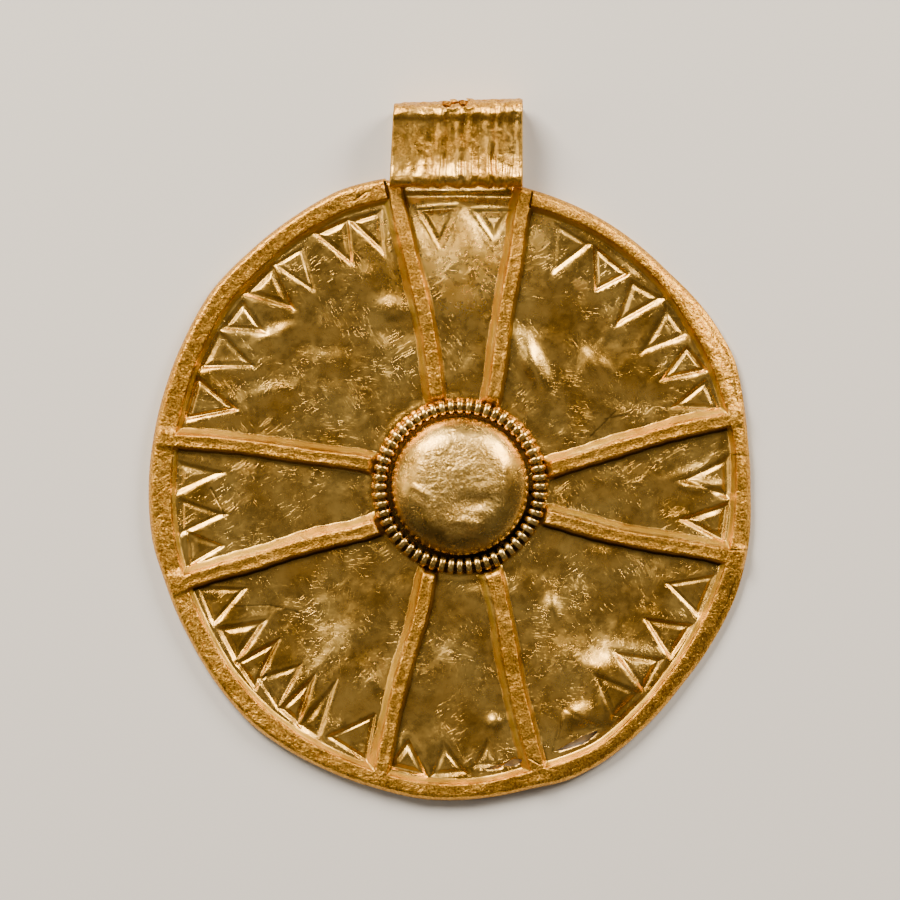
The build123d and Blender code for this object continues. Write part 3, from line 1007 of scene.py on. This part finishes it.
boss = {
    "radius": (bossHigh.x - bossLow.x) / 2,
    "height": bossHigh.z - bossLow.z,
    "wall": 0.25,
    "skirt": 0.3,  # upright share of the height
    "fullness": 0.68,  # 1 is a half round, less is flatter on top
    "hammered": 0.12,  # the dents start this much under the CAD dome
    "rubbedWide": 2.9,  # half the rubbed face on top
    "rubbedTall": 3.3,
    "turns": 180,
    "rings": 52,
}
# Dents and bulges of the boss: middle from the hub, length, width, turn in degrees and height
bossDents = [
    (1.0, -0.95, 1.3, 0.55, 6, -0.26),
    (0.5, -2.3, 1.2, 0.3, -8, 0.14),
    (-2.4, -0.35, 0.9, 0.2, -33, 0.11),
    (0.0, -4.0, 3.0, 0.9, 0, -0.22),
    (-2.9, -1.7, 0.8, 0.9, 0, -0.07),
    (-2.2, 2.4, 1.2, 0.8, 30, 0.06),
    (3.0, 1.2, 0.7, 1.2, 0, 0.06),
    (0.3, 2.0, 1.4, 0.7, 0, -0.06),
    (1.2, -0.3, 2.0, 0.5, 10, 0.05),
    (-0.6, 0.6, 1.2, 0.4, 35, 0.03),
    (-0.6, 3.5, 0.12, 0.1, 0, -0.06),
    (0.15, 2.8, 0.5, 0.08, 15, -0.03),
]


def bossPiece():
    bm = bmesh.new()
    reach, tall, wall = boss["radius"], boss["height"], boss["wall"]
    # profile from the foot up the skirt, over the dome and back down inside
    skirt = tall * boss["skirt"]
    outside = [(reach, 0.0), (reach, skirt)]
    for part in range(1, boss["rings"]):
        turn = pi / 2 * part / boss["rings"]
        outside.append((reach * cos(turn) ** boss["fullness"], skirt + (tall - skirt) * sin(turn)))
    outside.append((0, tall))
    inside = [(x * (1 - wall / reach), z * (1 - wall / tall)) for x, z in reversed(outside)]
    verts = [bm.verts.new((hub.x + x, hub.y, bossLow.z + z)) for x, z in outside + inside]
    edges = [bm.edges.new(pair) for pair in zip(verts, verts[1:] + verts[:1])]
    bmesh.ops.spin(bm, geom=verts + edges, cent=(hub.x, hub.y, 0), axis=(0, 0, 1), angle=2 * pi,
                   steps=boss["turns"], use_merge=True)
    bmesh.ops.remove_doubles(bm, verts=bm.verts, dist=1e-4)
    bmesh.ops.recalc_face_normals(bm, faces=bm.faces)
    x, y, z = np.array([vert.co for vert in bm.verts]).T
    lift = swellHeight(bossDents, x - hub.x, y - hub.y) - boss["hammered"]
    lift += 0.03 * softNoise(x, y, 1.6, 4.0) + 0.014 * softNoise(x, y, 0.6, 7.0)
    lift *= softStep(0.3, 1.6, z - bossLow.z)
    for vert, rise in zip(bm.verts, lift):
        vert.co.z += min(rise, -0.01)
    piece = finishPiece(bm, "domed_boss", bossGold, "boss")
    # the rubbed face on top, a little taller than wide
    face = np.hypot((x - hub.x) / boss["rubbedWide"], (y - hub.y - 0.2) / boss["rubbedTall"])
    rubbed = 1 - softStep(0.88, 1.12, face + 0.1 * softNoise(x, y, 0.9, 2.2))
    storeMask(piece.data, "worn", rubbed)
    # painted shade on the lower side, outside the rubbed face
    below = softStep(1.6, 3.4, hub.y - y - 0.25 * (x - hub.x))
    storeMask(piece.data, "paintedShade", 0.6 * (1 - rubbed) * below)
    # painted shade on the skirt, widest at the lower left
    lower = np.clip(-0.6 * (x - hub.x) - 0.8 * (y - hub.y), 0, None) / boss["radius"]
    storeMask(piece.data, "creaseShade", 1 - softStep(0.1, 1.2 + 0.9 * lower, z - bossLow.z))


bossPiece()
print("boss made")

loop = {
    "sheet": 0.28,
    "width": loopHigh.x - loopLow.x,
    "middle": seat["middle"],
    "top": loopHigh.y,
    "foot": loopLow.y,
    "depth": loopHigh.z - 0.03,
    "rollShare": 0.36,  # reach of the roll in Y against its depth
    "lipRadius": 0.85,  # the panel turns in over this radius at its foot
    "lipEnd": disc["rimHeight"] + 0.04,
    "across": 120,  # mesh faces across the strip
    "pitch": 0.11,  # and their size along it
    "tongue": seat["tongueInset"],
    "inset": 0.2,  # the strip lies this much inside its CAD outline, so that ribs and bumps stay in
    "narrowing": 0.3,  # how far the left edge leans in towards the top
    "topSlope": 0.3,  # how much lower the roll is at its left end
    "ribHeight": 0.16,
    "bumpHeight": 0.05,
    "roughHeight": 0.08,
    "holeLip": 0.13,  # height of the edge pushed up round the worn hole
    "lobeRadius": 0.3,
    "slitHalf": 0.07,
}
# Ribs and grooves: place as a share of the width from the left edge, strength and width in mm
ribRows = [
    (0.26, 0.6, 0.30),
    (0.32, -0.3, 0.20),
    (0.373, 0.8, 0.24),
    (0.424, -0.5, 0.18),
    (0.513, 1.0, 0.22),
    (0.555, -0.3, 0.15),
    (0.61, 0.7, 0.22),
    (0.67, -0.5, 0.22),
    (0.742, 1.0, 0.24),
    (0.78, -0.4, 0.12),
    (0.815, 0.7, 0.16),
    (0.886, 0.6, 0.16),
    (0.93, -0.4, 0.16),
    (0.975, 0.5, 0.16),
]
# Middles of the worn hole's two lobes
lobes = [(-0.2, 24.72), (0.86, 24.78)]


def loopLine():
    # side view of the strip's outside, Y and Z: up the back, over the roll, down the panel, round the lip
    top, foot, deep, lip = loop["top"], loop["foot"], loop["depth"], loop["lipRadius"]
    line = [(foot + step, 0) for step in (0.05, 0.4, 0.76, 1.6, 2.6, 3.6)]
    reach = deep * loop["rollShare"]
    for turn in np.radians(range(-90, 91, 10)):
        line.append((top - reach + reach * cos(turn), deep / 2 + deep / 2 * sin(turn)))
    # the panel sinks a little below the roll, and rises to its flared lip
    line += [(top - step, deep - drop) for step, drop in ((1.4, 0.06), (1.65, 0.18), (2.1, 0.22))]
    flare = [(2.6, 0.3), (2.3, 0.31), (1.9, 0.28), (1.5, 0.2), (1.15, 0.1)]
    line += [(foot + step, deep - drop) for step, drop in flare]
    for turn in np.radians(range(0, 91, 10)):
        line.append((foot + 0.03 + lip * (1 - sin(turn)), deep - 0.05 - lip * (1 - cos(turn))))
    line += [(foot + 0.02, deep - 1.3), (foot + 0.02, loop["lipEnd"])]
    return line


def resampled(line, pitch):
    # the same line with its points evenly spaced
    points = np.array(line, dtype=float)
    runs = np.hypot(*np.diff(points, axis=0).T)
    along = np.concatenate([[0], np.cumsum(runs)])
    spots = np.linspace(0, along[-1], int(along[-1] / pitch) + 1)
    return np.array([np.interp(spots, along, points[:, axis]) for axis in (0, 1)]).T


def holeOutline():
    # two round lobes joined by a slit
    radius = loop["lobeRadius"]
    mouth = np.degrees(np.arcsin(loop["slitHalf"] / radius))  # half a lobe's angle that opens to the slit
    outline = []
    for (x, y), first in zip(lobes, (mouth, 180 + mouth)):
        for turn in np.linspace(first, first + 360 - 2 * mouth, 21):
            outline.append((x + radius * cos(radians(turn)), y + radius * sin(radians(turn))))
    return outline


def loopRelief(x, y, z, share):
    # push on the strip's face, at most 0: ribs, bumps, thin edges and the lip of the worn hole
    width, top = loop["width"], loop["top"]
    front = min(max(z - 0.6, 0), 1)
    fade = min(max(top - 0.35 - y, 0.12), 1)
    place = share * width + 0.12 * noise.noise(Vector((y * 0.8, share * 6, 2)))
    rib = sum(strong * np.exp(-((place - spot * width) / broad) ** 2) for spot, strong, broad in ribRows)
    rough = 0.35 + 0.65 * softStep(top - 1.4, top - 0.5, y)
    bumps = loop["bumpHeight"] * noise.noise(Vector((x * 1.3, y * 1.1, z * 1.1)))
    bumps += loop["roughHeight"] * rough * noise.noise(Vector((x * 2.6, y * 2.6, z * 2.6 + 5)))
    edge = -0.07 * max(1 - min(share, 1 - share) * width / 0.16, 0)
    near = min(np.hypot(x - left, y - high) for left, high in lobes)
    lip = loop["holeLip"] * np.exp(-((near - loop["lobeRadius"] - 0.06) / 0.09) ** 2) * (z > 1.8)
    return min(front * fade * loop["ribHeight"] * rib + bumps + edge + lip - loop["inset"], 0)


def loopPiece():
    line = resampled(loopLine(), loop["pitch"])
    steps = len(line) - 1
    top, foot = loop["top"], loop["foot"]
    bm = bmesh.new()
    bmesh.ops.create_grid(bm, x_segments=loop["across"], y_segments=steps, size=0.5)
    tangent = np.gradient(line, axis=0)
    tangent /= np.linalg.norm(tangent, axis=1)[:, None]
    for vert in bm.verts:
        share = vert.co.x + 0.5
        step = round((vert.co.y + 0.5) * steps)
        y, z = line[step]
        out = Vector((0, tangent[step][1], -tangent[step][0]))
        back = z < 0.1
        up = min(max((y - foot) / (top - foot), 0), 1)
        half = loop["width"] / 2 - loop["tongue"] * (back and y < foot + 0.8)
        # left edge leaning in, roll lower at its left end
        x = (2 * share - 1) * half * 0.99 + loop["narrowing"] * up * (1 - share)
        y -= loop["topSlope"] * up ** 3 * (1 - share)
        push = 0 if back else loopRelief(x, y, z, share)
        vert.co = Vector((loop["middle"] + x, y, z)) + out * push
    bmesh.ops.recalc_face_normals(bm, faces=bm.faces)
    # outwards before the wall gets its thickness
    highest = max(bm.faces, key=lambda face: face.calc_center_median().z)
    if highest.normal.z < 0:
        bmesh.ops.reverse_faces(bm, faces=bm.faces)
    bmesh.ops.solidify(bm, geom=bm.faces, thickness=loop["sheet"])
    bmesh.ops.recalc_face_normals(bm, faces=bm.faces)
    piece = finishPiece(bm, "ribbed_suspension_loop", sheetGold, "suspension_loop")
    cutAway(piece, prismCutter([holeOutline()], loop["depth"] / 2, loop["depth"] + 1))
    x, y, z = meshPoints(piece.data).T
    patchy = softStep(-0.1, 0.25, softNoise(x, y, 0.9, 6.3))
    high = softStep(top - 1.2, top - 0.5, y)
    storeMask(piece.data, "worn", np.clip(0.9 * high + 0.3 + 0.3 * patchy, 0, 1) * (z > 0.4))


loopPiece()
print("loop made")

studio = {
    "floorSize": 1500,  # mm, half a side
    "floorGap": 0.02,  # mm under the pendant
    "floorColour": "#DEDFE2",
    "roomColour": "#FFF1DC",
    "roomLight": 0.1,
    "lampColour": "#FFEFD8",
    "beamWatts": 3.6,
    "beamAngle": 0.85,  # degrees
    "beamSource": 4,  # mm, small against the cone
    "pictureWidth": 57.6,  # mm, at the disc
    "pictureUp": 2.62,  # the picture's middle lies this much above the disc's
    "cameraHeight": 600,
}
# Soft lamps: name, place and size in mm, watts
lampRows = [
    ("key_softbox", (-210, 330, 290), 220, 5.1),
    ("right_softbox", (300, 270, 240), 180, 2.6),
    ("left_softbox", (-400, 20, 230), 160, 0.3),
    ("front_fill", (0, -190, 430), 260, 0.05),
]


def addLamp(name, kind, place, aim, watts):
    light = bpy.data.lights.new(name, kind)
    light.energy = watts
    light.color = hexColour(studio["lampColour"])[:3]
    lamp = addObject(name, light)
    lamp.location = Vector(place) * mm
    lamp.rotation_euler = (Vector(aim) - Vector(place)).to_track_quat("-Z", "Y").to_euler()
    return light


def stageAndLights():
    bm = bmesh.new()
    bmesh.ops.create_grid(bm, x_segments=1, y_segments=1, size=studio["floorSize"])
    floor = meshObject(bm, "studio_floor")
    floor.location.z = cadLow.z - studio["floorGap"] * mm
    # matt paper scatters evenly, so the floor stays plain
    paper = bpy.data.materials.new("matt_paper")
    paper.use_nodes = True
    shader = paper.node_tree.nodes["Principled BSDF"]
    shader.inputs["Base Color"].default_value = hexColour(studio["floorColour"])
    shader.inputs["Roughness"].default_value = 0.9
    floor.data.materials.append(paper)
    world = bpy.data.worlds.new("soft_room")
    bpy.context.scene.world = world
    world.use_nodes = True
    room = world.node_tree.nodes["Background"].inputs
    room["Color"].default_value = hexColour(studio["roomColour"])
    room["Strength"].default_value = studio["roomLight"]
    for name, place, size, watts in lampRows:
        addLamp(name, "AREA", place, (0, 0, 0), watts).size = size * mm
    # a narrow beam from above lights the field right under the loop, which shades it from the soft lamps
    beam = addLamp("loop_beam", "SPOT", (-10, -50, 500), (0.5, 18.7, 0), studio["beamWatts"])
    beam.spot_size = radians(studio["beamAngle"])
    beam.spot_blend = 1
    beam.shadow_soft_size = studio["beamSource"] * mm


def photoCamera():
    # straight above, as the photo was taken
    lens = bpy.data.cameras.new("photo_camera")
    lens.lens = lens.sensor_width * studio["cameraHeight"] / studio["pictureWidth"]
    lens.clip_end = 10
    camera = addObject("photo_camera", lens)
    camera.location = Vector((0, studio["pictureUp"], studio["cameraHeight"])) * mm
    bpy.context.scene.camera = camera


stageAndLights()
photoCamera()
print("stage, lights and camera made")
